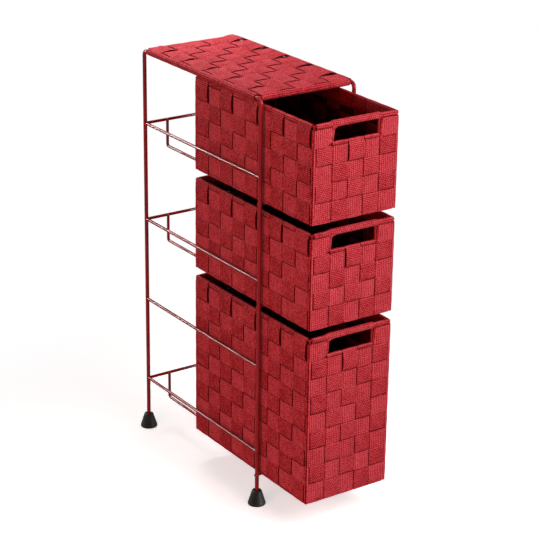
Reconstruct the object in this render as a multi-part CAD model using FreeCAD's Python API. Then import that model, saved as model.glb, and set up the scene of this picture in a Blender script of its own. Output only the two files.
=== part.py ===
import FreeCAD, Part
import math
import os

# Slim tower of three woven drawers on a bent-wire frame, in millimetres.
# +Z is up, the drawers pull out towards -Y, and the origin lies on the floor under the middle
# of the whole object with its drawers part of the way out.

# Straps and how they are woven
STRAP_T = 1.2
STRAP_GAP = 2.0        # between neighbouring straps, where a crossing strap changes sides
WEAVE_CLEAR = 0.2      # between the faces of two crossing straps
WRAP_CLEAR = 0.15      # between a strap and the wire that it goes round
STRAP_TAIL = 20.0      # end of an upright strap, folded down inside the drawer
CORNER_CUT = 1.2       # flat on the corner of a band

# Drawers
DRAWER_W = 149.5
DRAWER_D = 308.5
SMALL_DRAWER_H = 147.5
DEEP_DRAWER_H = 267.5
FRONT_STRAPS = 5
SIDE_STRAPS = 9
HANDLE_STRAPS = 3      # upright straps that stop below the handle hole
SMALL_BANDS = 5
DEEP_BANDS = 9
BASKET_WIRE_D = 3.2
BASKET_BEND_R = 3.5
CORNER_CLEAR = 0.1     # between the bend of a rim wire and the nearest upright strap
RIM_CLEAR = 3.45       # from the rim wire down to the first band
BAND_CLEAR = 1.3       # from the base wire, or the handle wire, to the band beside it
HANDLE_WIRE_D = 3.2
HANDLE_BEND_R = 3.0
HANDLE_EDGE = 0.3      # from the edge of the cut straps out to the middle of the wire beside the hole
HANDLE_CLEAR = 0.3     # round the wire and the bindings beside the hole
GRIP_D = 10.0
GRIP_CLEAR = 0.5       # between the end of the grip and the strap beside it
PULL_OUT = 125.5       # how far each drawer stands out from its closed place

# Fit of the drawers in the frame
SIDE_CLEAR = 5.35      # from a drawer to the guide rail beside it
RUN_CLEAR = 0.3        # from a drawer to the runner under it
STOP_CLEAR = 3.0       # from a closed drawer to the runners' uprights behind it
HEAD_CLEAR = 6.5       # from a grip to the front bar over it
TOP_CLEAR = 3.85       # from the grip of the top drawer to the top panel
FRONT_SETBACK = 7.0    # from the front legs' middle back to the face of a closed drawer

# Frame
FLOOR_CLEAR = 48.5     # from the floor to the bottom drawer
LEG_D = 6.2
LEG_BEND_R = 7.5
TOP_BAR_D = 5.6
RAIL_D = 4.8
SPACER_RISE = 142.5    # from the low guide rail up to the one beside the deep drawer
RUNNER_D = 4.6
RUNNER_INSET = 38.0    # from a leg in to the runner
RUNNER_DROP = 42.55    # from a back rail down to the runner that hangs from it
RUNNER_BEND_R = 4.0
FRONT_BAR_D = 4.2
FRONT_BAR_END = 0.5    # end of a front bar past the middle of the leg
FOOT_BASE_D = 28.0
FOOT_TOP_D = 14.5
FOOT_H = 24.0
FOOT_LIP = 3.0
FOOT_SEAT = 4.0        # rubber under the end of the leg
FOOT_CLEAR = 0.1

# Top panel
TOP_LONG_STRAPS = 5
TOP_CROSS_STRAPS = 10
TOP_EDGE_CLEAR = 1.0   # from a wrapped bar to the first strap beside it

# Sizes that follow from the ones above
WEAVE = (STRAP_T + WEAVE_CLEAR) / 2
OCTAGON_SHARE = math.tan(math.pi / 8)


def wrap_radius(wire_d):
    """Distance from a wire's middle to the middle of a strap that goes round it."""
    return wire_d / 2 + WRAP_CLEAR + STRAP_T / 2


BASKET_WRAP = wrap_radius(BASKET_WIRE_D)
BASKET_INSET = BASKET_WRAP - WEAVE
HANDLE_WRAP = wrap_radius(HANDLE_WIRE_D)
HANDLE_INSET = HANDLE_WRAP - WEAVE
WALL_FACE = WEAVE + STRAP_T / 2
HALF_W = DRAWER_W / 2 - WALL_FACE
HALF_D = DRAWER_D / 2 - WALL_FACE
CORNER_ZONE = BASKET_INSET + BASKET_BEND_R + CORNER_CLEAR
GRIP_PROUD = max(0, GRIP_D / 2 - BASKET_WRAP - STRAP_T / 2)

FRAME_W = DRAWER_W + 2 * SIDE_CLEAR + RAIL_D
FRAME_D = RAIL_D / 2 + RUNNER_D + STOP_CLEAR + DRAWER_D + FRONT_SETBACK
FRONT_REACH = FRAME_D / 2 - FRONT_SETBACK + PULL_OUT + GRIP_PROUD
REAR_REACH = (FRAME_D + FOOT_BASE_D) / 2
FRAME_Y = (FRONT_REACH - REAR_REACH) / 2
FRONT_LEG_Y = FRAME_Y - FRAME_D / 2
REAR_LEG_Y = FRAME_Y + FRAME_D / 2
DRAWER_Y = FRONT_LEG_Y + FRONT_SETBACK - PULL_OUT + DRAWER_D / 2

RUNNER_STACK = RUN_CLEAR + max(RUNNER_D, FRONT_BAR_D)
DRAWER_GAP = RUNNER_STACK + HEAD_CLEAR + GRIP_PROUD
LOW_Z = FLOOR_CLEAR
MIDDLE_Z = LOW_Z + DEEP_DRAWER_H + DRAWER_GAP
UPPER_Z = MIDDLE_Z + SMALL_DRAWER_H + DRAWER_GAP
TOP_WRAP = wrap_radius(LEG_D)
TOP_Z = UPPER_Z + SMALL_DRAWER_H + GRIP_PROUD + TOP_CLEAR + TOP_WRAP + STRAP_T / 2
PANEL_Z = TOP_Z + TOP_WRAP - WEAVE

SIDES = {"left": -1, "right": 1}
DRAWERS = {
    "top": (UPPER_Z, SMALL_DRAWER_H, SMALL_BANDS),
    "middle": (MIDDLE_Z, SMALL_DRAWER_H, SMALL_BANDS),
    "bottom": (LOW_Z, DEEP_DRAWER_H, DEEP_BANDS),
}


def rod(start, end, diameter):
    """Straight round wire between two points."""
    axis = end - start
    return Part.makeCylinder(diameter / 2, axis.Length, start, axis)


def bent_rod(points, bend_r, diameter, closed=False):
    """Round wire along straight runs that are joined by tangent arcs."""
    ring = points + points[:2] if closed else points
    edges = []
    start = (points[0] + points[1]) / 2 if closed else points[0]
    first = start
    for before, corner, after in zip(ring, ring[1:], ring[2:]):
        back = (before - corner).normalize()
        ahead = (after - corner).normalize()
        half_turn = back.getAngle(ahead) / 2
        reach = bend_r / math.tan(half_turn)
        middle = (back + ahead).normalize() * (bend_r / math.sin(half_turn) - bend_r)
        arc_start = corner + back * reach
        arc_end = corner + ahead * reach
        edges.append(Part.LineSegment(start, arc_start).toShape())
        edges.append(Part.Arc(arc_start, corner + middle, arc_end).toShape())
        start = arc_end
    edges.append(Part.LineSegment(start, first if closed else points[-1]).toShape())
    circle = Part.makeCircle(diameter / 2, first, points[1] - points[0])
    return Part.Wire(edges).makePipeShell([Part.Wire(circle)], True, False)


def spread(low, high, count):
    """Starts and ends of straps that fill a stretch side by side."""
    width = (high - low - (count - 1) * STRAP_GAP) / count
    return [(low + i * (width + STRAP_GAP), low + i * (width + STRAP_GAP) + width) for i in range(count)]


def weave_run(crossings, side):
    """Line of a strap that passes its crossings on alternate sides, from outside (1) or inside (-1)."""
    line = []
    for start, end in crossings:
        line += [(start, side * WEAVE), (end, side * WEAVE)]
        side = -side
    return line


def offset_line(line, distance, closed=False):
    """The same line, moved sideways by a distance, with mitred corners."""
    moved = []
    ahead = (2 * line[0][0] - line[1][0], 2 * line[0][1] - line[1][1])
    beyond = (2 * line[-1][0] - line[-2][0], 2 * line[-1][1] - line[-2][1])
    befores = [line[-1] if closed else ahead] + line[:-1]
    afters = line[1:] + [line[0] if closed else beyond]
    for (u, v), before, after in zip(line, befores, afters):
        into = FreeCAD.Vector(u - before[0], v - before[1], 0).normalize()
        out = FreeCAD.Vector(after[0] - u, after[1] - v, 0).normalize()
        bend = FreeCAD.Vector(-into.y - out.y, into.x + out.x, 0) / (1 + into.dot(out))
        moved.append((u + bend.x * distance, v + bend.y * distance))
    return moved


def polygon(line, place):
    """Closed wire through a line's points, set in space by a function of (u, v)."""
    points = [place(u, v) for u, v in line]
    return Part.makePolygon(points + points[:1])


def strap(line, place, across):
    """Strap of even thickness along an open line, as wide as the vector across."""
    outline = offset_line(line, STRAP_T / 2) + offset_line(line, -STRAP_T / 2)[::-1]
    return Part.Face(polygon(outline, place)).extrude(across)


def strap_ring(line, place, across):
    """Strap of even thickness round a closed line."""
    walls = [polygon(offset_line(line, half, True), place) for half in (STRAP_T / 2, -STRAP_T / 2)]
    return Part.makeFace(walls, "Part::FaceMakerBullseye").extrude(across)


def hook(centre_u, centre_v, wrap, tail):
    """Line of a strap end over a wire: a tail on the near side, then over the top to the far side."""
    flat = wrap * OCTAGON_SHARE
    return [
        (centre_u - wrap, centre_v - tail),
        (centre_u - wrap, centre_v + flat),
        (centre_u - flat, centre_v + wrap),
        (centre_u + flat, centre_v + wrap),
        (centre_u + wrap, centre_v + flat),
    ]


def upright_line(rows, side, hooked):
    """Line of an upright in a wall, as (distance outwards, height), from its hook to its last band."""
    line = hooked + [(WEAVE, rows[0][0] + STRAP_GAP)]
    line += [(out, z) for z, out in weave_run(rows, side)]
    return line + [(WEAVE, rows[-1][1] - STRAP_GAP)]


def hoop_line(near, far, half, base_z, crossings, side):
    """Line of one strap down a wall, under the drawer and up the opposite wall."""
    flat = BASKET_WRAP * OCTAGON_SHARE
    turn = [(WEAVE, base_z - flat), (flat - BASKET_INSET, base_z - BASKET_WRAP)]
    floor_z = base_z - BASKET_INSET
    low, high = crossings[0][0] - STRAP_GAP, crossings[-1][1] + STRAP_GAP
    floor = [(low, WEAVE)] + weave_run(crossings, side) + [(high, WEAVE)]
    line = [(-half - out, z) for out, z in near + turn]
    line += [(u, floor_z - out) for u, out in floor]
    return line + [(half + out, z) for out, z in (far + turn)[::-1]]


def band_wall(crossings, half, side):
    """Line of a band along one wall, as (distance along, distance outwards), between its corners."""
    corner = half + WEAVE - CORNER_CUT
    low, high = crossings[0][0] - STRAP_GAP, crossings[-1][1] + STRAP_GAP
    return [(-corner, WEAVE), (low, WEAVE)] + weave_run(crossings, side) + [(high, WEAVE), (corner, WEAVE)]


def drawer_parts(name, underside, height, band_count):
    """All pieces of one drawer, by node name."""
    wire_r = BASKET_WIRE_D / 2
    rim_z = underside + height - BASKET_WRAP - STRAP_T / 2
    base_z = underside + BASKET_WRAP + STRAP_T / 2
    half_x = HALF_W - BASKET_INSET
    half_y = HALF_D - BASKET_INSET
    columns = spread(CORNER_ZONE - HALF_W, HALF_W - CORNER_ZONE, FRONT_STRAPS)
    side_columns = spread(CORNER_ZONE - HALF_D, HALF_D - CORNER_ZONE, SIDE_STRAPS)
    band_rows = spread(base_z + wire_r + BAND_CLEAR, rim_z - wire_r - RIM_CLEAR, band_count)
    rows = [(high, low) for low, high in band_rows[::-1]]

    def loop(z):
        corners = [(-1, -1), (1, -1), (1, 1), (-1, 1)]
        points = [FreeCAD.Vector(x * half_x, DRAWER_Y + y * half_y, z) for x, y in corners]
        return bent_rod(points, BASKET_BEND_R, BASKET_WIRE_D, True)

    def posts():
        bend_inset = BASKET_BEND_R * (1 - math.sqrt(1 / 2))
        solids = []
        for x in (bend_inset - half_x, half_x - bend_inset):
            for y in (bend_inset - half_y, half_y - bend_inset):
                lower = FreeCAD.Vector(x, DRAWER_Y + y, base_z + wire_r)
                solids.append(rod(lower, FreeCAD.Vector(x, DRAWER_Y + y, rim_z - wire_r), BASKET_WIRE_D))
        return solids

    first_cut = (FRONT_STRAPS - HANDLE_STRAPS) // 2
    cut_columns = range(first_cut, first_cut + HANDLE_STRAPS)
    bar_z = rows[1][0] + HANDLE_WIRE_D / 2 + BAND_CLEAR
    handle_x = columns[cut_columns[-1]][1] + HANDLE_EDGE
    handle_y = DRAWER_Y - HALF_D + HANDLE_INSET
    beside_x = columns[cut_columns[-1] + 1][0]

    def handle_wire(diameter):
        head_z = rim_z - wire_r
        corners = [(-handle_x, head_z), (-handle_x, bar_z), (handle_x, bar_z), (handle_x, head_z)]
        return bent_rod([FreeCAD.Vector(x, handle_y, z) for x, z in corners], HANDLE_BEND_R, diameter)

    def bindings():
        reach = HANDLE_WRAP + STRAP_T / 2
        low = bar_z + max(HANDLE_BEND_R, reach) + HANDLE_CLEAR
        high = rim_z - GRIP_D / 2 - HANDLE_CLEAR
        half_room = beside_x - HANDLE_CLEAR
        corner = FreeCAD.Vector(-half_room, handle_y - reach, low)
        room = Part.makeBox(2 * half_room, 2 * reach, high - low, corner)
        solids = []
        for x in (-handle_x, handle_x):
            lower = FreeCAD.Vector(x, handle_y, low)
            upper = FreeCAD.Vector(x, handle_y, high)
            sleeve = rod(lower, upper, 2 * reach).cut(rod(lower, upper, HANDLE_WIRE_D + 2 * WRAP_CLEAR))
            solids.append(sleeve.common(room))
        return solids

    def grip():
        half_grip = beside_x - GRIP_CLEAR
        left = FreeCAD.Vector(-half_grip, DRAWER_Y - half_y, rim_z)
        right = FreeCAD.Vector(half_grip, DRAWER_Y - half_y, rim_z)
        rim = rod(left, right, BASKET_WIRE_D + 2 * WRAP_CLEAR)
        return rod(left, right, GRIP_D).cut([rim, handle_wire(HANDLE_WIRE_D + 2 * WRAP_CLEAR)])

    rim_hook = hook(-BASKET_INSET, rim_z, BASKET_WRAP, STRAP_TAIL)
    bar_hook = hook(-HANDLE_INSET, bar_z, HANDLE_WRAP, STRAP_TAIL)

    def long_straps():
        solids = []
        for i, (start, end) in enumerate(columns):
            side = 1 if i % 2 else -1
            rear = upright_line(rows, side, rim_hook)
            front = upright_line(rows[1:], -side, bar_hook) if i in cut_columns else rear
            line = hoop_line(front, rear, HALF_D, base_z, side_columns, side)
            width = FreeCAD.Vector(end - start, 0, 0)
            solid = strap(line, lambda u, v: FreeCAD.Vector(start, DRAWER_Y + u, v), width)
            solids.append(solid.cut(handle_wire(HANDLE_WIRE_D + WRAP_CLEAR)) if i in cut_columns else solid)
        return solids

    def cross_straps():
        solids = []
        for j, (start, end) in enumerate(side_columns):
            side = -1 if j % 2 else 1
            wall = upright_line(rows, side, rim_hook)
            line = hoop_line(wall, wall, HALF_W, base_z, columns, side)
            width = FreeCAD.Vector(0, end - start, 0)
            solids.append(strap(line, lambda u, v: FreeCAD.Vector(u, DRAWER_Y + start, v), width))
        return solids

    def bands():
        solids = []
        for k, (high, low) in enumerate(rows):
            side = -1 if k % 2 else 1
            end_wall = band_wall(columns, HALF_W, side)
            side_wall = band_wall(side_columns, HALF_D, -side)
            front = [(s, -HALF_D - out) for s, out in end_wall]
            right = [(HALF_W + out, s) for s, out in side_wall]
            rear = [(-s, HALF_D + out) for s, out in end_wall]
            left = [(-HALF_W - out, -s) for s, out in side_wall]
            rise = FreeCAD.Vector(0, 0, high - low)

            def place(u, v):
                return FreeCAD.Vector(u, DRAWER_Y + v, low)

            if k:
                solids.append(strap_ring(front + right + rear + left, place, rise))
            else:
                stop = handle_x + HANDLE_WIRE_D / 2 + HANDLE_CLEAR
                end_y = -HALF_D - side * WEAVE
                from_hole = [(stop, end_y)] + [p for p in front if p[0] > stop]
                to_hole = [p for p in front if p[0] < -stop] + [(-stop, end_y)]
                solids.append(strap(from_hole + right + rear + left + to_hole, place, rise))
        return solids

    return {
        name + "_drawer_rim_wire": [loop(rim_z)],
        name + "_drawer_base_wire": [loop(base_z)],
        name + "_drawer_corner_posts": posts(),
        name + "_drawer_handle_wire": [handle_wire(HANDLE_WIRE_D)],
        name + "_drawer_handle_bindings": bindings(),
        name + "_drawer_grip_wrap": [grip()],
        name + "_drawer_long_straps": long_straps(),
        name + "_drawer_cross_straps": cross_straps(),
        name + "_drawer_band_straps": bands(),
    }


def side_frame(side):
    """Rear leg, top side bar and front leg in one bent wire."""
    x = side * FRAME_W / 2
    corners = [(FRONT_LEG_Y, FOOT_SEAT), (FRONT_LEG_Y, TOP_Z), (REAR_LEG_Y, TOP_Z), (REAR_LEG_Y, FOOT_SEAT)]
    return bent_rod([FreeCAD.Vector(x, y, z) for y, z in corners], LEG_BEND_R, LEG_D)


def cross_bar(y, z, diameter, frames):
    """Bar between the two side frames, with its ends cut to their round wires."""
    half = FreeCAD.Vector(FRAME_W / 2, 0, 0)
    middle = FreeCAD.Vector(0, y, z)
    return rod(middle - half, middle + half, diameter).cut(frames)


def guide_rail(side, z, frame):
    """Rail between the two legs of one side, with its ends cut to their round wires."""
    x = side * FRAME_W / 2
    return rod(FreeCAD.Vector(x, FRONT_LEG_Y, z), FreeCAD.Vector(x, REAR_LEG_Y, z), RAIL_D).cut(frame)


def front_bar_y():
    """Front bars lie against the back of the front legs."""
    return FRONT_LEG_Y + (LEG_D + FRONT_BAR_D) / 2


def front_bar(runner_z):
    """Bar across the front legs, with its top level with a pair of runners."""
    end = FreeCAD.Vector(FRAME_W / 2 + FRONT_BAR_END, 0, 0)
    middle = FreeCAD.Vector(0, front_bar_y(), runner_z + (RUNNER_D - FRONT_BAR_D) / 2)
    return rod(middle - end, middle + end, FRONT_BAR_D)


def runner(side, runner_z):
    """L-shaped wire: down from a back rail, then forward to the front bar, with its end cut to that round bar."""
    x = side * (FRAME_W / 2 - RUNNER_INSET)
    rear = REAR_LEG_Y - (RAIL_D + RUNNER_D) / 2
    top = runner_z + RUNNER_DROP + RAIL_D / 2
    corners = [(rear, top), (rear, runner_z), (front_bar_y(), runner_z)]
    wire = bent_rod([FreeCAD.Vector(x, y, z) for y, z in corners], RUNNER_BEND_R, RUNNER_D)
    return wire.cut(front_bar(runner_z))


def foot(x, y):
    """Conical rubber foot with a blind hole for the leg."""
    hole_r = LEG_D / 2 + FOOT_CLEAR
    outline = [
        (0, 0),
        (FOOT_BASE_D / 2, 0),
        (FOOT_BASE_D / 2, FOOT_LIP),
        (FOOT_TOP_D / 2, FOOT_H),
        (hole_r, FOOT_H),
        (hole_r, FOOT_SEAT),
        (0, FOOT_SEAT),
    ]
    face = Part.Face(polygon(outline, lambda u, v: FreeCAD.Vector(u, 0, v)))
    solid = face.revolve(FreeCAD.Vector(0, 0, 0), FreeCAD.Vector(0, 0, 1), 360)
    solid.translate(FreeCAD.Vector(x, y, 0))
    return solid


def panel_line(half, crossings, side):
    """Line of one top strap: under a bar, round it, through the weave and round the opposite bar."""
    flat = TOP_WRAP * OCTAGON_SHARE
    end = [
        (TOP_WRAP, TOP_Z - TOP_WRAP),
        (-flat, TOP_Z - TOP_WRAP),
        (-TOP_WRAP, TOP_Z - flat),
        (-TOP_WRAP, TOP_Z + flat),
        (-flat, TOP_Z + TOP_WRAP),
    ]
    low, high = crossings[0][0] - STRAP_GAP, crossings[-1][1] + STRAP_GAP
    middle = [(low, WEAVE)] + weave_run(crossings, side) + [(high, WEAVE)]
    line = [(u - half, z) for u, z in end]
    line += [(u, PANEL_Z + out) for u, out in middle]
    return line + [(half - u, z) for u, z in end[::-1]]


def panel_parts():
    """The two groups of straps that make the woven top."""
    half_x = FRAME_W / 2
    half_y = FRAME_D / 2 - LEG_BEND_R
    border = TOP_WRAP + STRAP_T / 2 + TOP_EDGE_CLEAR
    columns = spread(border - half_x, half_x - border, TOP_LONG_STRAPS)
    rows = spread(border - half_y, half_y - border, TOP_CROSS_STRAPS)
    long_straps = []
    for i, (start, end) in enumerate(columns):
        line = panel_line(half_y, rows, -1 if i % 2 else 1)
        width = FreeCAD.Vector(end - start, 0, 0)
        long_straps.append(strap(line, lambda u, v: FreeCAD.Vector(start, FRAME_Y + u, v), width))
    cross_straps = []
    for j, (start, end) in enumerate(rows):
        line = panel_line(half_x, columns, 1 if j % 2 else -1)
        width = FreeCAD.Vector(0, end - start, 0)
        cross_straps.append(strap(line, lambda u, v: FreeCAD.Vector(u, FRAME_Y + start, v), width))
    return {"top_panel_long_straps": long_straps, "top_panel_cross_straps": cross_straps}


def frame_parts():
    """All pieces of the standing frame, by node name."""
    frames = {name: side_frame(side) for name, side in SIDES.items()}
    both = list(frames.values())
    parts = {name + "_side_frame": [shape] for name, shape in frames.items()}
    parts["panel_front_bar"] = [cross_bar(FRONT_LEG_Y + LEG_BEND_R, TOP_Z, TOP_BAR_D, both)]
    parts["panel_rear_bar"] = [cross_bar(REAR_LEG_Y - LEG_BEND_R, TOP_Z, TOP_BAR_D, both)]
    drop = RUN_CLEAR + RUNNER_D / 2
    runner_levels = {name: underside - drop for name, (underside, _, _) in DRAWERS.items()}
    rail_levels = {name: z + RUNNER_DROP for name, z in runner_levels.items()}
    for name, z in rail_levels.items():
        parts[name + "_back_rail"] = [cross_bar(REAR_LEG_Y, z, RAIL_D, both)]
    rail_levels["spacer"] = rail_levels["bottom"] + SPACER_RISE
    for side_name, side in SIDES.items():
        for name, z in rail_levels.items():
            parts[name + "_guide_rail_" + side_name] = [guide_rail(side, z, frames[side_name])]
        for name, z in runner_levels.items():
            parts[name + "_runner_" + side_name] = [runner(side, z)]
        parts["front_foot_" + side_name] = [foot(side * FRAME_W / 2, FRONT_LEG_Y)]
        parts["rear_foot_" + side_name] = [foot(side * FRAME_W / 2, REAR_LEG_Y)]
    for name, z in runner_levels.items():
        parts[name + "_front_bar"] = [front_bar(z)]
    return parts


def export(parts):
    """Write each node's solids to its own file."""
    os.makedirs("parts", exist_ok=True)
    for name, shapes in parts.items():
        solids = [solid for shape in shapes for solid in shape.Solids]
        Part.makeCompound(solids).exportStep("parts/" + name + ".step")


export(frame_parts())
export(panel_parts())
for drawer_name, (drawer_z, drawer_h, drawer_bands) in DRAWERS.items():
    export(drawer_parts(drawer_name, drawer_z, drawer_h, drawer_bands))
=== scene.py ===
import math

import bpy
from mathutils import Matrix, Vector, noise


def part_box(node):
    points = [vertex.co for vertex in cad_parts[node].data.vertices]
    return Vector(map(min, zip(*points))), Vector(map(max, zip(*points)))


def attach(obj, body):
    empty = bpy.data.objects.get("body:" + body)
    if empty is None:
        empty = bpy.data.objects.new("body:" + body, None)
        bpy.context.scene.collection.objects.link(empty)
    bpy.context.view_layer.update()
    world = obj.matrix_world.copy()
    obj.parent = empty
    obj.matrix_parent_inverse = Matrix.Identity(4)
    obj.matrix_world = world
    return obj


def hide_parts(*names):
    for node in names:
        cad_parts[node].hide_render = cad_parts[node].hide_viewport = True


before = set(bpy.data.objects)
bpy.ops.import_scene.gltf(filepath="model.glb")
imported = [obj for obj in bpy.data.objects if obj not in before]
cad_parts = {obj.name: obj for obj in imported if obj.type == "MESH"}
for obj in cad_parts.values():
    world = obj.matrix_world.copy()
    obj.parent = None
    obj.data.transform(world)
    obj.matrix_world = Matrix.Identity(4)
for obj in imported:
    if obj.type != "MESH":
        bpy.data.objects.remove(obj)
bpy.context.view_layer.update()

# Looks of a slim tower of three woven drawers on a bent-wire frame, in metres, in the frame's own axes:
# +Z is up and the drawers pull out towards -Y.
MM = 0.001
ALONG_X = Vector((1, 0, 0))
ALONG_Y = Vector((0, 1, 0))
UP = Vector((0, 0, 1))
LEFT, RIGHT = -1, 1        # keys of what differs between the two sides

# Numbers of straps
FRONT_STRAPS = 5
SIDE_STRAPS = 9
HANDLE_COLUMNS = (1, 2, 3)    # straps that end below the handle hole
ROWS = {"top": 5, "middle": 5, "bottom": 9}
TOP_LONG_STRAPS = 5
TOP_CROSS_STRAPS = 10

# Straps
STRAP_T = 1.3 * MM
STRAP_GAP = 2.0 * MM       # between neighbouring straps of the nodes
STRAP_SLIT = 1.2 * MM      # the gap that shows between two straps
WRAP_CLEAR = 0.15 * MM     # between a strap and the wire that it goes round
PUFF = 0.4 * MM            # how much wider a strap is on each edge where it lies on top
CROWN = 0.3 * MM           # rise of the middle of a strap over its edges
EDGE_ROUND = 0.3 * MM
SHOULDER = 1.3 * MM        # from the edge of a strap to where its face runs level
WANDER = 0.25 * MM         # how far the edge of a strap strays
WANDER_SCALE = 60.0        # waves of that straying, per metre
WANDER_STRAP = 50          # how far apart the straying of two straps is drawn
WANDER_SIDE = Vector((0, 0, 7))    # and that of the two edges of a strap

# Weave. The level of a strap goes from -1, under another strap, to 1, on top of it.
EASY = 0.5                 # level of a strap that is off the weave
WEAVE = 1.25 * MM          # how far a strap swings to each side of its wall's middle
WEAVE_TURN = 2.0 * MM      # half the length over which it changes sides
FINE_TURN = (-1.0, -0.6, -0.2, 0.2, 0.6, 1.0)    # points of that change, in halves of its length
PLAIN_TURN = (-1.0, 0.0, 1.0)
CELL_SHARES = (0.15, 0.3, 0.5, 0.7, 0.85)        # points over a crossing
SWELL = 0.45 * MM          # rise of the middle of a crossing
PANEL_SWELL = 1.1 * MM     # and on the top

# Walls and bottoms of the drawers
TAIL = 20 * MM             # end of an upright strap inside a drawer
TAIL_SHARES = (1, 0.6, 0.25)
RIM_STEPS = 8
RIM_END = 4.5 * MM         # how much wider the last upright of a wall is on the rim
LOOSE = 2.2 * MM           # how much further an upright stands out at the first band
LOOSE_REACH = 14 * MM
LOOSE_FADE = 5 * MM
BASE_BEND = 0.4 * MM       # of an upright at the bottom of a wall
BASE_STEPS = 4
FLOOR_LIFT = 0.25 * MM     # of the woven bottom, to stay clear of what is below it
BAND_BEND = 1.7 * MM       # of a band round a corner
BEND_STEPS = 5
CORNER_FULL = 0.8 * MM     # how much wider a band is at a corner, on each edge
CORNER_START = 0.6         # where that begins before the post, as a share of the post's inset
CORNER_DROP = 4.9 * MM     # how much lower the last band comes there
CORNER_RAMP = 14 * MM      # and the length over which it comes down

# Ends of the first band, beside the handle hole
END_TAIL = 14 * MM
END_SHARES = (1, 0.6, 0.3)
END_STEPS = 10
END_SHIFT = {LEFT: 0.4 * MM, RIGHT: 6.6 * MM}    # from the wire beside the hole to the fold
END_CLEAR = 1 * MM         # from the fold to the next point of the band
END_LEAN = 0.11            # slant of the fold
END_REACH = 16 * MM        # how far along the band the slant fades out
END_CUT = {LEFT: 3.5 * MM, RIGHT: -0.6 * MM}     # how much the lower edge rises at the fold

# Grip
GRIP_AROUND = 32
GRIP_STEPS = 170
GRIP_LEAD = 5 * MM         # how far its webbing goes on to the left, ever thinner
GRIP_LEAD_R = 3.4 * MM
GRIP_PITCH = 3.6 * MM
GRIP_RIDGE = 0.35 * MM
GRIP_FLAT = 3              # power that flattens its ridges
GRIP_SAG = {LEFT: 6.5 * MM, RIGHT: 0.8 * MM}     # how much lower its ends hang
GRIP_SAG_REACH = {LEFT: 6.5 * MM, RIGHT: 5 * MM}
GRIP_SHADE = 0.75          # of its ridges
GRIP_GROOVE_SHADE = 0.9          # painted shade: how much darker its grooves are

# Top panel
PANEL_SLIT = 0.1 * MM      # the gap between two of its straps
PANEL_TAIL = (3, 1.5)      # points of a strap end below it, in radii of the turn round the bar
PANEL_STEPS = 12
PANEL_LOOSE = {LEFT: 1.5 * MM, RIGHT: 2.8 * MM}       # how much higher a crosswise strap stands
PANEL_LOOSE_X = {LEFT: 61 * MM, RIGHT: 73 * MM}       # and how far out
PANEL_LOOSE_OUT = {LEFT: 10 * MM, RIGHT: 7 * MM}      # from there to where that ends, outwards
PANEL_LOOSE_IN = {LEFT: 12 * MM, RIGHT: 27 * MM}      # and inwards
PANEL_PAINTED_SHADE = {"long": 0.13, "cross": 0.12}          # painted shade: how much darker its straps are than the other straps, to tone down the light on the top

# Feet: half width and height along the outline, as shares of the whole
FOOT_AROUND = 40
FOOT_OUTLINE = (
    (0.90, 0.0), (0.965, 0.012), (0.995, 0.04), (1.0, 0.08), (0.995, 0.12), (0.965, 0.165),
    (0.90, 0.28), (0.80, 0.47), (0.70, 0.66), (0.615, 0.82), (0.575, 0.90), (0.54, 0.955),
    (0.485, 0.99), (0.42, 1.0), (0.33, 0.992), (0.26, 0.965), (0.205, 0.93),
)

# How dark the parts of a strap are, on a scale where 1 spans the whole of its colours: a tint per strap,
# painted sheen and painted shade
MIDDLE_SHADE = 0.5
PAINTED_FIBRE_SHEEN = Vector((0.1, 0.22, -0.14))    # painted sheen and shade, by the way that the threads run
TINT_SPREAD = 0.25         # between one strap and another
DIP_SHADE = 0.45           # painted shade where a strap goes under another
# painted shade on the edges of a strap, lower down its edges and on its inner face, where they lie in shade
EDGE_SHADE = 1.3
BACK_SHADE = 1.8
INNER_SHADE = 0.95
INSIDE_SHADE = 0.6         # painted shade of the strap ends inside the walls
CORNER_SHADE = 0.4         # painted shade of a band on a side wall, beside a corner
CORNER_REACH = 8 * MM
BEND_SHADE = 0.8           # and more painted shade right on the corner

# Made-up tints of single straps: keys of the groups, then the numbers that scatter them
LONG_KEY, CROSS_KEY, BAND_KEY, PANEL_KEY = 1, 2, 3, 5
SCATTER_STEP = 12.9898
SCATTER_START = 4.1
SCATTER_SCALE = 43758.5453

# Webbing
RIB_PITCH = 2.7 * MM
BAND_RIBS = 1.2            # how much wider the ribs of a band are
THREAD_PITCH = 3.1 * MM
THREAD_DEPTH = 0.75        # of the notches between threads, as a share of a rib's height
# ribs in the colour: partly the webbing's own pattern, partly painted highlights on the crests and painted
# shade in the grooves
RIB_PATTERN_AND_SHEEN = 0.66
SPECKLE_WEIGHT = 1.25
SPECKLE_SCALE = 420
SPECKLE_DETAIL = 3
BLOTCH_WEIGHT = 0.35
BLOTCH_SCALE = 70
# weight of the third strap coordinate: a tint per strap, with painted sheen and painted shade
TINT_AND_SHADE_WEIGHT = 0.5
LEVEL_OFFSET = -0.56
# the pale pink top of these colours also serves as painted highlight on the rib crests
STRAP_COLOURS = (
    (0.0, (0.025, 0.0004, 0.0008, 1)),
    (0.3, (0.16, 0.0022, 0.0036, 1)),
    (0.7, (0.395, 0.009, 0.0133, 1)),
    (1.0, (0.64, 0.072, 0.095, 1)),
)
STRAP_BUMP = 0.5
STRAP_BUMP_DEPTH = 0.35 * MM
STRAP_FINISH = {"Roughness": 0.7, "Specular IOR Level": 0.022}

# Paint on the wires
CLOUD_SCALE = 40
PAINT_COLOURS = ((0.3, (0.26, 0.006, 0.008, 1)), (0.7, (0.35, 0.009, 0.012, 1)))
PEEL_SCALE = 900
PEEL_BUMP = 0.12
PEEL_DEPTH = 0.1 * MM
PAINT_FINISH = {
    "Roughness": 0.45,
    "Specular IOR Level": 0.01,
    "Coat Weight": 0.2,
    "Coat Roughness": 0.1,
}

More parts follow.
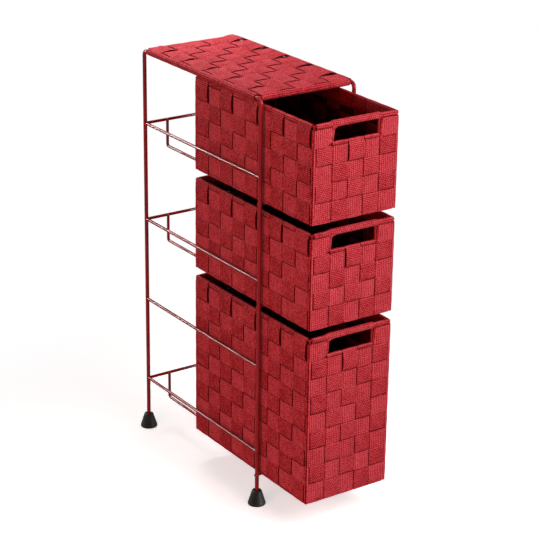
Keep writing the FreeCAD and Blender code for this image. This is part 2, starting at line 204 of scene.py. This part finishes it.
# Rubber of the feet
DUST_SCALE = 130
DUST_DETAIL = 4
RUBBER_COLOURS = ((0.35, (0.008, 0.007, 0.0065, 1)), (0.75, (0.018, 0.016, 0.015, 1)))
GRAIN_SCALE = 1200
GRAIN_DETAIL = 3
GRAIN_BUMP = 0.15
GRAIN_DEPTH = 0.1 * MM
RUBBER_FINISH = {"Roughness": 0.55, "Specular IOR Level": 0.12}

# Floor and world
WHITE = (1, 1, 1, 1)
WORLD_LIGHT = 0.145
FLOOR_REACH = 6.0
FLOOR_PALE = 0.6           # colour of the floor
FLOOR_SEEN = 0.35          # and how much paler it is to the camera
FLOOR_GLOW = 0.58          # its own light near the part, where it still takes a shadow
FLOOR_NEAR = 0.3           # from here on the shadow fades
FLOOR_FAR = 0.7            # and from here on the floor is plain white

# Lamps. Those called sheen only make highlights.
LAMPS = (
    dict(name="front", place=(0.4, -1.6, 1.5), target=(0, -0.2, 0.35), size=(1.2, 1.2), power=29),
    dict(name="overhead", place=(0.35, 0.1, 2.3), target=(0, 0, 0.3), size=(0.7, 0.7), power=6),
    dict(name="panel", place=(0.1, 0.55, 0.95), target=(0, 0.24, 0.65), size=(0.3, 0.3), power=0.75,
         spread=80),
    dict(name="left", place=(-2.3, -1.0, 0.95), target=(0, 0, 0.55), size=(1.2, 1.2), power=26,
         colour=(1, 0.56, 0.44), glossy=False),
    dict(name="front_sheen", place=(1.3, -2.4, 0.8), target=(0, 0, 0.3), size=(1.6, 1.6), power=330,
         diffuse=False),
    dict(name="rear_sheen", place=(-1.1, 1.9, 1.6), target=(0, 0, 0.3), size=(0.4, 1.6), power=170,
         diffuse=False),
    dict(name="panel_sheen", place=(0.5, 0.85, 0.95), target=(0, 0.2, 0.65), size=(0.3, 0.3), power=0.3,
         diffuse=False),
)

# Camera, fitted to the photograph
CAMERA_AZIMUTH = -34.49
CAMERA_ELEVATION = 21.24
CAMERA_ROLL = 0.76
CAMERA_DISTANCE = 2.9393
CAMERA_TARGET = Vector((0.0481, 0.05255, 0.3074))
CAMERA_LENS = 122.93
CAMERA_SENSOR = 36.0


class Pile:
    """Vertices, faces and strap coordinates of one piece, gathered from many sweeps."""

    def __init__(self):
        self.points = []
        self.faces = []
        self.coords = []

    def sweep(self, rings, coords):
        """Skin a row of rings of points and cap its ends."""
        base = len(self.points)
        count = len(rings[0])
        for ring, ring_coords in zip(rings, coords):
            self.points += ring
            self.coords += ring_coords
        for i in range(len(rings) - 1):
            here = base + i * count
            there = here + count
            for j in range(count):
                k = (j + 1) % count
                self.faces.append((here + j, here + k, there + k, there + j))
        end = base + (len(rings) - 1) * count
        self.faces.append(tuple(base + j for j in reversed(range(count))))
        self.faces.append(tuple(end + j for j in range(count)))

    def build(self, name, body, slot, material, nodes):
        """Make the piece, let it ride on its body and stand for its nodes."""
        mesh = bpy.data.meshes.new(name)
        mesh.from_pydata(self.points, [], self.faces)
        attribute = mesh.attributes.new("strap", "FLOAT_VECTOR", "POINT")
        attribute.data.foreach_set("vector", [value for coord in self.coords for value in coord])
        mesh.shade_smooth()
        mesh.materials.append(material)
        piece = bpy.data.objects.new(name, mesh)
        bpy.context.scene.collection.objects.link(piece)
        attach(piece, body)
        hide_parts(*nodes)


def smooth(x):
    """Ease from 0 to 1."""
    x = min(max(x, 0.0), 1.0)
    return x * x * (3 - 2 * x)


def side_of(x):
    """Key of the side that a place is on."""
    return RIGHT if x > 0 else LEFT


def arc(centre, radius, start, end, steps):
    """Points on an arc in a strap's plane, by angles in degrees, at an easy level."""
    angles = [math.radians(start + (end - start) * i / steps) for i in range(steps + 1)]
    return [(centre[0] + radius * math.cos(a), centre[1] + radius * math.sin(a), EASY) for a in angles]


def weave_run(edges, signs, turn=FINE_TURN, lift=None, swell=SWELL):
    """Places along a strap, how far it stands out there, and its level.

    It changes sides at the edges of its crossings. lift is an extra rise, by place, of what lies on top.
    """
    run = []
    for k, edge in enumerate(edges):
        before, after = signs[k], signs[k + 1]
        if before != after:
            for share in turn:
                level = before + (after - before) * smooth((share + 1) / 2)
                run.append((edge + PUFF * after + share * WEAVE_TURN, WEAVE * level, level))
        if k + 1 < len(edges):
            for share in CELL_SHARES:
                rise = swell * (1 - (2 * share - 1) ** 2)
                run.append((edge + share * (edges[k + 1] - edge), after * (WEAVE + rise), after))
    if lift:
        run = [(place, out + lift(place) * max(level, 0), level) for place, out, level in run]
    return run


def edges_between(low, high, count):
    """Edges of equal crossings that fill a stretch, out to the middle of the gaps at its ends."""
    low, high = low - STRAP_GAP / 2, high + STRAP_GAP / 2
    return [low + (high - low) * i / count for i in range(count + 1)]


def alternate(first, count):
    """Signs of a strap that is outside before and after its crossings, and alternates between."""
    return [1] + [first * (-1) ** k for k in range(count)] + [1]


def tint_of(*key):
    """A steady made-up number between 0 and 1 for one strap."""
    angle = sum((i + 1) * SCATTER_STEP * k for i, k in enumerate(key)) + SCATTER_START
    value = math.sin(angle) * SCATTER_SCALE
    return value - math.floor(value)


def strap_section(left, right):
    """Section of a strap as (across, height, painted shade): crowned on top, with rounded edges, and
    painted shade on its edges and inner face.
    """
    top = STRAP_T / 2
    flank = top - EDGE_ROUND
    half = (left + right) / 2
    section = []
    for w in (EDGE_ROUND - left, SHOULDER - left, 0, right - SHOULDER, right - EDGE_ROUND):
        section.append((w, top + CROWN * (1 - (w / half) ** 2), 0))
    return section + [
        (right, flank, EDGE_SHADE),
        (right, -flank, BACK_SHADE),
        (right - EDGE_ROUND, -top, INNER_SHADE),
        (0, CROWN - top, INNER_SHADE),
        (EDGE_ROUND - left, -top, INNER_SHADE),
        (-left, -flank, BACK_SHADE),
        (-left, flank, EDGE_SHADE),
    ]


def ribbon(pile, line, place, across, width, tint, flip=1, widen=None, painted_shade=None, lean=None, ribs=1.0):
    """Add a strap along a line in its plane.

    place sets a point of the plane in space and across is the way over the strap. By point of the line,
    widen moves the two edges out, painted_shade darkens the strap with painted shade and lean slants it
    along itself. A flip of -1 turns its face to the other side of the line, and ribs spreads its ribs.
    """
    run = 0.0
    rings = []
    coords = []
    for i, (p, q, level) in enumerate(line):
        before = line[max(i - 1, 0)][:2]
        after = line[min(i + 1, len(line) - 1)][:2]
        run += math.dist((p, q), before)
        along = Vector((after[0] - before[0], after[1] - before[1])).normalized()
        out = Vector((along.y, -along.x)) * flip
        seed = Vector((run * WANDER_SCALE, tint * WANDER_STRAP, 0))
        left = width / 2 + PUFF * max(level, 0) + WANDER * noise.noise(seed)
        right = width / 2 + PUFF * max(level, 0) + WANDER * noise.noise(seed + WANDER_SIDE)
        if widen:
            more_left, more_right = widen(p, q)
            left += more_left
            right += more_right
        over = across + (lean(p, q) if lean else Vector())
        way = (place(*after) - place(*before)).normalized()
        # painted sheen and shade by the way that the threads run, over a random tint per strap
        shade = MIDDLE_SHADE + TINT_SPREAD * (tint - 0.5) + PAINTED_FIBRE_SHEEN.dot(Vector([v * v for v in way]))
        # painted shade where the strap goes under another
        shade -= DIP_SHADE * smooth(EASY - level)
        # painted shade that the caller gives by place
        if painted_shade:
            shade -= painted_shade(p, q)
        section = strap_section(left, right)
        # each point of the section takes its painted shade: dark edges and a dark inner face
        rings.append([place(p + out.x * h, q + out.y * h) + over * w for w, h, dark in section])
        coords.append([(w, run / ribs, shade - dark) for w, h, dark in section])
    pile.sweep(rings, coords)


class Drawer:
    """Sizes of one drawer, read from the frame."""

    def __init__(self, name):
        self.body = name + "_drawer"
        self.rows = ROWS[name]
        self.key = list(ROWS).index(name)
        rim_low, rim_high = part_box(self.node("rim_wire"))
        base_low, base_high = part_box(self.node("base_wire"))
        post_low, post_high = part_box(self.node("corner_posts"))
        handle_low, handle_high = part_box(self.node("handle_wire"))
        long_low, long_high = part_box(self.node("long_straps"))
        cross_low, cross_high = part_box(self.node("cross_straps"))
        band_low, band_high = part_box(self.node("band_straps"))
        self.wire_r = (rim_high.z - rim_low.z) / 2
        self.wrap = self.wire_r + WRAP_CLEAR + STRAP_T / 2
        self.inset = self.wrap - WEAVE
        self.rim_z = (rim_low.z + rim_high.z) / 2
        self.base_z = (base_low.z + base_high.z) / 2
        self.middle = (rim_low + rim_high) / 2
        self.half_x = (rim_high.x - rim_low.x) / 2 - self.wire_r
        self.half_y = (rim_high.y - rim_low.y) / 2 - self.wire_r
        self.post_inset = self.half_x - ((post_high.x - post_low.x) / 2 - self.wire_r)
        self.bar_z = handle_low.z + self.wire_r
        self.handle_x = handle_high.x - self.wire_r
        self.column_edges = edges_between(long_low.x, long_high.x, FRONT_STRAPS)
        self.side_edges = edges_between(cross_low.y, cross_high.y, SIDE_STRAPS)
        self.row_edges = edges_between(band_low.z, band_high.z, self.rows)[::-1]

    def node(self, part):
        """Name of one of its nodes or pieces."""
        return self.body + "_" + part

    def wall(self, wire_z, first_row, first_sign):
        """Line of an upright strap from its end inside to the turn at the bottom, as (outwards, height)."""
        edges = [-z for z in self.row_edges[first_row:]]
        signs = alternate(first_sign, len(edges) - 1)
        slack = (edges[0] + edges[1]) / 2

        def lift(depth):
            return LOOSE * smooth((LOOSE_REACH - abs(depth - slack)) / LOOSE_FADE)

        run = weave_run(edges, signs, lift=lift)
        corner = (self.wrap - BASE_BEND, self.base_z - self.wrap + BASE_BEND + FLOOR_LIFT)
        line = [(-self.wrap, wire_z - share * TAIL, EASY) for share in TAIL_SHARES]
        line += arc((0, wire_z), self.wrap, 180, 0, RIM_STEPS)
        line += [(self.inset + out, -depth, level) for depth, out, level in run]
        return line + [(self.wrap, self.base_z, EASY)] + arc(corner, BASE_BEND, 0, -90, BASE_STEPS)

    def hoop(self, near, far, half, middle, edges, first_sign):
        """Line of one strap down a wall, under the drawer and up the opposite wall."""
        signs = alternate(first_sign, len(edges) - 1)
        floor = weave_run(edges, signs, PLAIN_TURN, swell=0)
        line = [(middle - half - out, z, level) for out, z, level in near]
        line += [(s, self.base_z - self.inset + FLOOR_LIFT - out, level) for s, out, level in floor]
        return line + [(middle + half + out, z, level) for out, z, level in far[::-1]]

    def inside_painted_shade(self, half, middle):
        """Painted shade that darkens the strap ends that hang inside the walls."""
        return lambda u, z: INSIDE_SHADE if abs(u - middle) < half and z > self.base_z + TAIL else 0

    def build(self, pile, piece, material, *parts):
        """Make a piece of webbing that stands for some of the drawer's nodes."""
        nodes = [self.node(part) for part in parts]
        pile.build(self.node(piece), self.body, "red_strap", material, nodes)


def long_straps(drawer, material):
    """Straps of the front wall, the bottom and the rear wall."""
    pile = Pile()
    pitch = drawer.column_edges[1] - drawer.column_edges[0]
    painted_shade = drawer.inside_painted_shade(drawer.half_y, drawer.middle.y)
    for i in range(FRONT_STRAPS):
        x = drawer.column_edges[i] + pitch / 2
        sign = 1 if i % 2 else -1
        rear = drawer.wall(drawer.rim_z, 0, sign)
        front = drawer.wall(drawer.bar_z, 1, -sign) if i in HANDLE_COLUMNS else rear
        line = drawer.hoop(front, rear, drawer.half_y, drawer.middle.y, drawer.side_edges, sign)

        def place(y, z):
            return Vector((x, y, z))

        def widen(y, z):
            on_rim = smooth((z - drawer.row_edges[0]) / drawer.wrap) * (y < drawer.middle.y)
            return 0, RIM_END * on_rim * (i == FRONT_STRAPS - 1)

        tint = tint_of(drawer.key, i, LONG_KEY)
        ribbon(pile, line, place, ALONG_X, pitch - STRAP_SLIT, tint, widen=widen, painted_shade=painted_shade)
    drawer.build(pile, "long_webbing", material, "long_straps")


def cross_straps(drawer, material):
    """Straps of the left wall, the bottom and the right wall."""
    pile = Pile()
    pitch = drawer.side_edges[1] - drawer.side_edges[0]
    painted_shade = drawer.inside_painted_shade(drawer.half_x, drawer.middle.x)
    for j in range(SIDE_STRAPS):
        y = drawer.side_edges[j] + pitch / 2
        sign = -1 if j % 2 else 1
        wall = drawer.wall(drawer.rim_z, 0, sign)
        line = drawer.hoop(wall, wall, drawer.half_x, drawer.middle.x, drawer.column_edges, sign)

        def place(x, z):
            return Vector((x, y, z))

        def widen(x, z):
            on_rim = smooth((z - drawer.row_edges[0]) / drawer.wrap)
            return 0, RIM_END * on_rim * (j == SIDE_STRAPS - 1)

        tint = tint_of(drawer.key, j, CROSS_KEY)
        ribbon(pile, line, place, ALONG_Y, pitch - STRAP_SLIT, tint, widen=widen, painted_shade=painted_shade)
    drawer.build(pile, "cross_webbing", material, "cross_straps")


def band_walls(drawer, sign):
    """Line of a band once round the drawer: the front wall, then corner and wall in turn, then a corner."""
    reach_x = drawer.half_x + drawer.wrap - BAND_BEND
    reach_y = drawer.half_y + drawer.wrap - BAND_BEND
    wall_x = drawer.half_x + drawer.inset
    wall_y = drawer.half_y + drawer.inset
    columns = weave_run(drawer.column_edges, alternate(sign, FRONT_STRAPS))
    sides = weave_run([y - drawer.middle.y for y in drawer.side_edges], alternate(-sign, SIDE_STRAPS))

    def corner(x, y, start):
        return arc((x, y), BAND_BEND, start, start + 90, BEND_STEPS)

    front = [(s, -wall_y - out, level) for s, out, level in columns]
    right = corner(reach_x, -reach_y, -90) + [(wall_x + out, s, level) for s, out, level in sides]
    rear = corner(reach_x, reach_y, 0) + [(-s, wall_y + out, level) for s, out, level in columns]
    left = corner(-reach_x, reach_y, 90) + [(-wall_x - out, -s, level) for s, out, level in sides]
    return front, right, rear, left, corner(-reach_x, -reach_y, 180)


def band_end(drawer, side):
    """Line of the end of the first band: inside the drawer and round the wire beside the handle hole."""
    fold_x = drawer.handle_x + END_SHIFT[side]
    back_y = drawer.wrap - drawer.half_y
    line = [(fold_x + share * END_TAIL, back_y, EASY) for share in END_SHARES]
    line += arc((fold_x, -drawer.half_y), drawer.wrap, 90, 270, END_STEPS)
    return [(side * x, y, level) for x, y, level in line]


def band_line(drawer, k):
    """Line of a band. The first one is folded back at the handle hole, the others close at the rear."""
    front, right, rear, left, last = band_walls(drawer, -1 if k % 2 else 1)
    if k:
        seam = len(rear) // 2
        return rear[seam:] + left + last + front + right + rear[:seam + 1]
    ends = {side: drawer.handle_x + END_SHIFT[side] + END_CLEAR for side in (LEFT, RIGHT)}
    line = band_end(drawer, RIGHT) + [p for p in front if p[0] > ends[RIGHT]]
    line += right + rear + left + last
    return line + [p for p in front if p[0] < -ends[LEFT]] + band_end(drawer, LEFT)[::-1]


def band_straps(drawer, material):
    """Bands round the walls."""
    pile = Pile()
    post_x = drawer.half_x - drawer.post_inset
    post_y = drawer.half_y - drawer.post_inset
    for k in range(drawer.rows):
        high, low = drawer.row_edges[k], drawer.row_edges[k + 1]
        z = (high + low) / 2

        def place(x, y):
            return Vector((x, drawer.middle.y + y, z))

        def near_hole(x, y):
            beside = smooth(1 - (abs(x) - drawer.handle_x) / END_REACH)
            return beside if k == 0 and y < -post_y else 0

        def widen(x, y):
            past_post = min(abs(x) - post_x, abs(y) - post_y)
            full = smooth(past_post / drawer.post_inset + CORNER_START)
            lower = CORNER_FULL * full
            if k == drawer.rows - 1:
                lower = CORNER_DROP * smooth(past_post / CORNER_RAMP + 1)
            lower -= END_CUT[side_of(x)] * near_hole(x, y)
            return lower, CORNER_FULL * full * (k > 0)

        def lean(x, y):
            return Vector((END_LEAN * near_hole(x, y), 0, 0))

        # painted shade of a band on a side wall beside a corner, and more on the corner's bend
        def painted_shade(x, y):
            on_side = smooth((abs(x) - drawer.half_x - drawer.wrap) / BAND_BEND + 1)
            on_end = smooth((abs(y) - drawer.half_y - drawer.wrap) / BAND_BEND + 1)
            beside = smooth((abs(y) - post_y) / CORNER_REACH + 1)
            return on_side * (CORNER_SHADE * beside + BEND_SHADE * on_end)

        line = band_line(drawer, k)
        width = high - low - STRAP_SLIT
        tint = tint_of(drawer.key, k, BAND_KEY)
        ribbon(pile, line, place, UP, width, tint, widen=widen, painted_shade=painted_shade, lean=lean, ribs=BAND_RIBS)
    drawer.build(pile, "band_webbing", material, "band_straps", "handle_bindings")


def grip_wrap(drawer, material):
    """Webbing wound round the front rim over the handle hole."""
    pile = Pile()
    low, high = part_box(drawer.node("grip_wrap"))
    full = (high.z - low.z) / 2
    centre = (low + high) / 2
    rings = []
    coords = []
    for i in range(GRIP_STEPS + 1):
        x = low.x - GRIP_LEAD + (high.x - low.x + GRIP_LEAD) * i / GRIP_STEPS
        thinning = smooth((x - low.x + GRIP_LEAD) / (2 * GRIP_LEAD))
        radius = GRIP_LEAD_R + (full - GRIP_LEAD_R) * thinning
        sag = GRIP_SAG[LEFT] * math.exp(-((x - low.x) / GRIP_SAG_REACH[LEFT]) ** 2) * (x > low.x)
        sag += GRIP_SAG[RIGHT] * math.exp(-((high.x - x) / GRIP_SAG_REACH[RIGHT]) ** 2)
        ring = []
        ring_coords = []
        for j in range(GRIP_AROUND):
            angle = 2 * math.pi * j / GRIP_AROUND
            turn = (x / GRIP_PITCH + j / GRIP_AROUND) % 1.0
            ridge = 1 - abs(2 * turn - 1) ** GRIP_FLAT
            r = radius - GRIP_RIDGE * (1 - ridge)
            y = centre.y + r * math.cos(angle)
            z = centre.z + r * math.sin(angle) - sag * max(0.0, -math.sin(angle))
            # painted shade in the grooves between the ridges
            shade = GRIP_SHADE - GRIP_GROOVE_SHADE * (1 - ridge)
            ring.append(Vector((x, y, z)))
            ring_coords.append(((turn - 0.5) * GRIP_PITCH, full * angle, shade))
        rings.append(ring)
        coords.append(ring_coords)
    pile.sweep(rings, coords)
    drawer.build(pile, "grip_webbing", material, "grip_wrap")


def panel_straps(material):
    """The woven top: straps that go round the four top bars."""
    side_low, side_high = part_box("left_side_frame")
    front_low, front_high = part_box("panel_front_bar")
    rear_low, rear_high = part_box("panel_rear_bar")
    long_low, long_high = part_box("top_panel_long_straps")
    cross_low, cross_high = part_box("top_panel_cross_straps")
    leg_r = (side_high.x - side_low.x) / 2
    wrap = leg_r + WRAP_CLEAR + STRAP_T / 2
    bar_z = side_high.z - leg_r
    panel_z = bar_z + wrap - WEAVE
    half_x = -(side_low.x + side_high.x) / 2
    front_y = (front_low.y + front_high.y) / 2
    rear_y = (rear_low.y + rear_high.y) / 2
    middle_y = (front_y + rear_y) / 2
    columns = edges_between(long_low.x, long_high.x, TOP_LONG_STRAPS)
    rows = edges_between(cross_low.y, cross_high.y, TOP_CROSS_STRAPS)
    end = [(wrap * radii, bar_z - wrap, EASY) for radii in PANEL_TAIL]
    end += arc((0, bar_z), wrap, 270, 90, PANEL_STEPS)[:-1]

    def lift(x):
        side = side_of(x)
        out = abs(x) - PANEL_LOOSE_X[side]
        reach = (PANEL_LOOSE_OUT if out > 0 else PANEL_LOOSE_IN)[side]
        return PANEL_LOOSE[side] * smooth(1 - abs(out) / reach)

    def place_long(x):
        return lambda y, z: Vector((x, y, z))

    def place_cross(y):
        return lambda x, z: Vector((x, y, z))

    def weave(name, own_edges, crossings, middle, half, first, placer, across, rise):
        pile = Pile()
        pitch = own_edges[1] - own_edges[0]
        width = pitch - PANEL_SLIT
        for i in range(len(own_edges) - 1):
            signs = alternate(first * (-1) ** i, len(crossings) - 1)
            run = weave_run(crossings, signs, lift=rise, swell=PANEL_SWELL)
            line = [(middle - half + u, z, level) for u, z, level in end]
            line += [(s, panel_z + out, level) for s, out, level in run]
            line += [(middle + half - u, z, level) for u, z, level in end[::-1]]
            place = placer(own_edges[i] + pitch / 2)
            tint = tint_of(i, len(own_edges), PANEL_KEY)
            # painted shade that darkens the straps of the top, to tone down the light on it
            ribbon(pile, line, place, across, width, tint, flip=-1, painted_shade=lambda u, z: PANEL_PAINTED_SHADE[name])
        node = "top_panel_" + name + "_straps"
        pile.build("top_panel_" + name + "_webbing", "frame", "red_strap", material, [node])

    weave("long", columns, rows, middle_y, rear_y - middle_y, 1, place_long, ALONG_X, None)
    weave("cross", rows, columns, 0.0, half_x, -1, place_cross, ALONG_Y, lift)


def foot(name, material):
    """Conical rubber foot with rounded edges and a dished collar round the leg."""
    low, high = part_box(name)
    centre = (low + high) / 2
    base = (high.x - low.x) / 2
    height = high.z - low.z
    pile = Pile()
    rings = []
    for share, rise in FOOT_OUTLINE:
        r = share * base
        z = low.z + rise * height
        ring = []
        for j in range(FOOT_AROUND):
            angle = 2 * math.pi * j / FOOT_AROUND
            ring.append(Vector((centre.x + r * math.cos(angle), centre.y + r * math.sin(angle), z)))
        rings.append(ring)
    pile.sweep(rings, [[(0, 0, 0)] * FOOT_AROUND for _ in rings])
    pile.build(name + "_rubber", "frame", "foot_rubber", material, [name])


class Tree:
    """Nodes of a material or of the world, with short ways to add and feed them."""

    def __init__(self, owner):
        owner.use_nodes = True
        self.nodes = owner.node_tree.nodes
        self.links = owner.node_tree.links

    def feed(self, node, inputs):
        """Link inputs of a node to sockets, or set them to values."""
        for key, value in inputs.items():
            if isinstance(value, bpy.types.NodeSocket):
                self.links.new(value, node.inputs[key])
            else:
                node.inputs[key].default_value = value

    def add(self, kind, inputs):
        """A new node that is fed by sockets and values."""
        node = self.nodes.new(kind)
        self.feed(node, inputs)
        return node

    def math(self, operation, *inputs):
        """Result of a math node."""
        node = self.nodes.new("ShaderNodeMath")
        node.operation = operation
        self.feed(node, dict(enumerate(inputs)))
        return node.outputs[0]

    def ridges(self, value, pitch):
        """Round ridges along a value: 0 in the grooves and 1 on top."""
        turns = self.math("MULTIPLY", value, math.pi / pitch)
        return self.math("ABSOLUTE", self.math("SINE", turns))

    def grain(self, spot, scale, detail=2):
        """Random grain by the spot on the object."""
        inputs = {"Vector": spot.outputs["Object"], "Scale": scale, "Detail": detail}
        return self.add("ShaderNodeTexNoise", inputs).outputs["Fac"]

    def ramp(self, value, stops):
        """Colours by a value."""
        node = self.add("ShaderNodeValToRGB", {"Fac": value})
        elements = node.color_ramp.elements
        elements[0].position, elements[0].color = stops[0]
        elements[1].position, elements[1].color = stops[-1]
        for position, colour in stops[1:-1]:
            elements.new(position).color = colour
        return node.outputs["Color"]

    def bump(self, height, strength, depth):
        """A surface that rises with a height."""
        inputs = {"Height": height, "Strength": strength, "Distance": depth}
        return self.add("ShaderNodeBump", inputs).outputs["Normal"]

    def seen(self, path):
        """1 for what the camera sees, also in reflections, and 0 for other rays."""
        return self.math("MAXIMUM", path.outputs["Is Camera Ray"], path.outputs["Is Glossy Ray"])


def new_material(name, finish):
    """A material with its nodes and its principled shader, which gets the values of a finish."""
    material = bpy.data.materials.new(name)
    tree = Tree(material)
    shader = tree.nodes["Principled BSDF"]
    tree.feed(shader, finish)
    return material, tree, shader


def strap_material():
    """Red woven webbing: ribs over the strap, broken into short threads, with a colour shift per strap and
    painted sheen and shade.
    """
    material, tree, shader = new_material("red_webbing", STRAP_FINISH)
    strap = tree.nodes.new("ShaderNodeAttribute")
    strap.attribute_name = "strap"
    # the third strap coordinate holds the strap's tint together with its painted sheen and painted shade
    across, along, tint = tree.add("ShaderNodeSeparateXYZ", {0: strap.outputs["Vector"]}).outputs
    rib = tree.ridges(along, RIB_PITCH)
    rib_index = tree.math("FLOOR", tree.math("DIVIDE", along, RIB_PITCH))
    staggered = tree.math("MULTIPLY_ADD", rib_index, THREAD_PITCH / 2, across)
    thread = tree.ridges(staggered, THREAD_PITCH)
    notched = tree.math("MULTIPLY_ADD", thread, THREAD_DEPTH, 1 - THREAD_DEPTH)
    height = tree.math("MULTIPLY", rib, notched)
    spot = tree.nodes.new("ShaderNodeTexCoord")
    speckle = tree.grain(spot, SPECKLE_SCALE, SPECKLE_DETAIL)
    blotch = tree.grain(spot, BLOTCH_SCALE)
    level = tree.math("MULTIPLY", speckle, SPECKLE_WEIGHT)
    level = tree.math("MULTIPLY_ADD", blotch, BLOTCH_WEIGHT, level)
    # the ribs lighten the colour on their crests and darken it in their grooves: the weave's pattern with
    # painted highlights and painted shade
    level = tree.math("MULTIPLY_ADD", height, RIB_PATTERN_AND_SHEEN, level)
    level = tree.math("MULTIPLY_ADD", tint, TINT_AND_SHADE_WEIGHT, level)
    level = tree.math("ADD", level, LEVEL_OFFSET)
    tree.feed(shader, {
        "Base Color": tree.ramp(level, STRAP_COLOURS),
        "Normal": tree.bump(height, STRAP_BUMP, STRAP_BUMP_DEPTH),
    })
    return material


def wire_material():
    """Glossy red paint on wire, with a faint orange peel."""
    material, tree, shader = new_material("red_paint", PAINT_FINISH)
    spot = tree.nodes.new("ShaderNodeTexCoord")
    tree.feed(shader, {
        "Base Color": tree.ramp(tree.grain(spot, CLOUD_SCALE), PAINT_COLOURS),
        "Normal": tree.bump(tree.grain(spot, PEEL_SCALE), PEEL_BUMP, PEEL_DEPTH),
    })
    return material


def rubber_material():
    """Black rubber with a dusty, slightly uneven surface."""
    material, tree, shader = new_material("black_rubber", RUBBER_FINISH)
    spot = tree.nodes.new("ShaderNodeTexCoord")
    tree.feed(shader, {
        "Base Color": tree.ramp(tree.grain(spot, DUST_SCALE, DUST_DETAIL), RUBBER_COLOURS),
        "Normal": tree.bump(tree.grain(spot, GRAIN_SCALE, GRAIN_DETAIL), GRAIN_BUMP, GRAIN_DEPTH),
    })
    return material


def area_light(name, place, target, size, power, colour=(1, 1, 1), diffuse=True, glossy=True, spread=180):
    """A soft lamp, as wide and high as its size says, that points at a target."""
    light = bpy.data.lights.new(name, "AREA")
    light.shape = "RECTANGLE"
    light.size, light.size_y = size
    light.energy = power
    light.color = colour
    light.spread = math.radians(spread)
    lamp = bpy.data.objects.new(name, light)
    lamp.location = place
    lamp.rotation_euler = (Vector(target) - Vector(place)).to_track_quat("-Z", "Y").to_euler()
    lamp.visible_diffuse = diffuse
    lamp.visible_glossy = glossy
    bpy.context.scene.collection.objects.link(lamp)


def make_world():
    """White to the camera and in reflections, a soft grey light otherwise."""
    world = bpy.data.worlds.new("studio")
    bpy.context.scene.world = world
    tree = Tree(world)
    tree.nodes.clear()
    path = tree.nodes.new("ShaderNodeLightPath")
    light = tree.add("ShaderNodeBackground", {"Color": WHITE, "Strength": WORLD_LIGHT})
    white = tree.add("ShaderNodeBackground", {"Color": WHITE})
    shaders = {0: tree.seen(path), 1: light.outputs[0], 2: white.outputs[0]}
    mix = tree.add("ShaderNodeMixShader", shaders)
    tree.add("ShaderNodeOutputWorld", {"Surface": mix.outputs[0]})


def floor_material():
    """White that keeps a faint shadow near the part and shines by itself further off."""
    material = bpy.data.materials.new("white_floor")
    tree = Tree(material)
    tree.nodes.clear()
    path = tree.nodes.new("ShaderNodeLightPath")
    spot = tree.nodes.new("ShaderNodeNewGeometry")
    distance = tree.add("ShaderNodeVectorMath", {0: spot.outputs["Position"]})
    distance.operation = "LENGTH"

    def by_distance(near, far):
        blend = tree.add("ShaderNodeMapRange", {
            "Value": distance.outputs["Value"],
            "From Min": FLOOR_NEAR,
            "From Max": FLOOR_FAR,
            "To Min": near,
            "To Max": far,
        })
        blend.interpolation_type = "SMOOTHSTEP"
        return blend.outputs["Result"]

    seen = tree.seen(path)
    pale = tree.math("MULTIPLY_ADD", path.outputs["Is Camera Ray"], FLOOR_SEEN, FLOOR_PALE)
    left = tree.math("SUBTRACT", 1.0, tree.math("MULTIPLY", seen, by_distance(0.0, 1.0)))
    colour = tree.math("MULTIPLY", pale, left)
    strength = tree.math("MULTIPLY", seen, by_distance(FLOOR_GLOW, 1.0))
    diffuse = tree.add("ShaderNodeBsdfDiffuse", {"Color": colour})
    glow = tree.add("ShaderNodeEmission", {"Strength": strength})
    total = tree.add("ShaderNodeAddShader", {0: diffuse.outputs[0], 1: glow.outputs[0]})
    tree.add("ShaderNodeOutputMaterial", {"Surface": total.outputs[0]})
    return material


def make_floor():
    """A wide square to stand on."""
    mesh = bpy.data.meshes.new("floor")
    corners = [(-1, -1), (1, -1), (1, 1), (-1, 1)]
    points = [(x * FLOOR_REACH, y * FLOOR_REACH, 0) for x, y in corners]
    mesh.from_pydata(points, [], [(0, 1, 2, 3)])
    mesh.materials.append(floor_material())
    floor = bpy.data.objects.new("floor", mesh)
    bpy.context.scene.collection.objects.link(floor)


def make_camera():
    """Camera at the photograph's viewing angle."""
    azimuth, elevation = math.radians(CAMERA_AZIMUTH), math.radians(CAMERA_ELEVATION)
    back = Vector((
        math.sin(azimuth) * math.cos(elevation),
        -math.cos(azimuth) * math.cos(elevation),
        math.sin(elevation),
    ))
    roll = Matrix.Rotation(math.radians(CAMERA_ROLL), 3, back)
    right = roll @ (-back).cross(UP).normalized()
    up = back.cross(right)
    data = bpy.data.cameras.new("camera")
    data.lens = CAMERA_LENS
    data.sensor_width = CAMERA_SENSOR
    camera = bpy.data.objects.new("camera", data)
    camera.matrix_world = Matrix((right, up, back)).transposed().to_4x4()
    camera.location = CAMERA_TARGET + back * CAMERA_DISTANCE
    bpy.context.scene.collection.objects.link(camera)
    bpy.context.scene.camera = camera


def dress_wires(material):
    """Paint every frame node that keeps its own shape."""
    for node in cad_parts.values():
        if not node.hide_render:
            node.data.materials.clear()
            node.data.materials.append(material)


strap_red = strap_material()
for drawer_name in ROWS:
    drawer = Drawer(drawer_name)
    long_straps(drawer, strap_red)
    cross_straps(drawer, strap_red)
    band_straps(drawer, strap_red)
    grip_wrap(drawer, strap_red)
panel_straps(strap_red)
rubber = rubber_material()
for end in ("front", "rear"):
    for side in ("left", "right"):
        foot(end + "_foot_" + side, rubber)
dress_wires(wire_material())

make_world()
make_floor()
for lamp in LAMPS:
    area_light(**lamp)
make_camera()

bpy.context.scene.view_settings.view_transform = "Standard"
